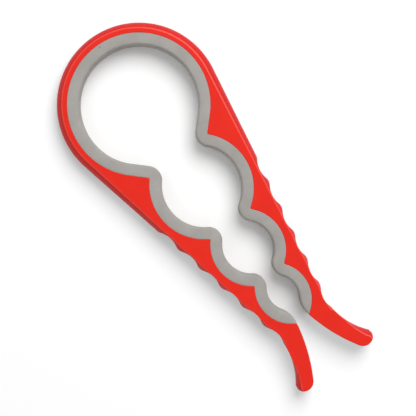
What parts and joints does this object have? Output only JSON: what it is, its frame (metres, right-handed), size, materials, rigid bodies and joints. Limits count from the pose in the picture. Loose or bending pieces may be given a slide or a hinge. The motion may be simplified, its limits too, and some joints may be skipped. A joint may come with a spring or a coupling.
{
  "type": "hand-squeezed lid opener",
  "caption": "Springy hoop with two scalloped arms and flared tails, lined with a soft grip strip that forms round openings of falling size for twisting off jar lids and bottle caps.",
  "frame": {"origin": "middle of the base: the centre of the outline, on the flat back face", "axes": "+X from the hoop to the handle tails, +Y towards the right arm, +Z out of the flat front face"},
  "size_m": [0.242, 0.0972, 0.013],
  "materials": {
    "red_moulding": "satin injection-moulded ABS, red",
    "grey_grip": "matt thermoplastic rubber, warm grey"
  },
  "bodies": {
    "hoop": {"hoop_frame": "red_moulding", "hoop_liner": "grey_grip"},
    "right_arm": {"right_arm_frame": "red_moulding", "right_arm_liner": "grey_grip"},
    "left_arm": {"left_arm_frame": "red_moulding", "left_arm_liner": "grey_grip"}
  },
  "joints": [
    {"name": "right_arm_flex", "type": "hinge", "parent": "hoop", "child": "right_arm", "pos_m": [-0.09332, 0.04018, 0.0065], "axis": [0, 0, 1], "range_deg": [-1.1, 6], "stiffness_Nm_per_rad": 6},
    {"name": "left_arm_flex", "type": "hinge", "parent": "hoop", "child": "left_arm", "pos_m": [-0.09332, -0.04018, 0.0065], "axis": [0, 0, -1], "range_deg": [-1.1, 6], "stiffness_Nm_per_rad": 6}
  ]
}
